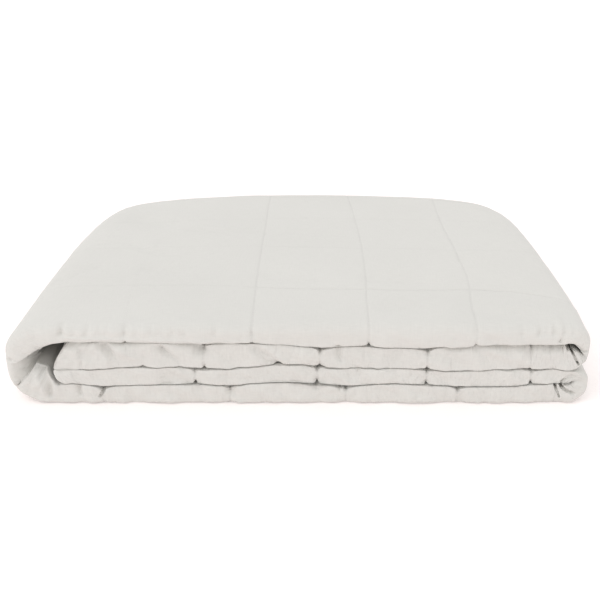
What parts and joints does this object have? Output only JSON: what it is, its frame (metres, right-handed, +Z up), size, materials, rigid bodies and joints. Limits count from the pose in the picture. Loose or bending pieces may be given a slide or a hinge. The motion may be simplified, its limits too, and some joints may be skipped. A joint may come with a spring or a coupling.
{
  "type": "folded weighted blanket",
  "caption": "Square-quilted weighted blanket folded into a flat pile, with rounded front folds, an open loop at one side and tight folds at the other.",
  "frame": {"origin": "middle of the pile's bounding box at its underside", "axes": "+X to the right along the pile's long front, towards its two tight side folds, +Y away from the rounded front rims, +Z up"},
  "size_m": [0.4982, 0.3748, 0.076],
  "materials": {
    "cotton": "matte off-white cotton weave, quilted in squares"
  },
  "bodies": {
    "root": {"blanket": "cotton"}
  },
  "joints": []
}
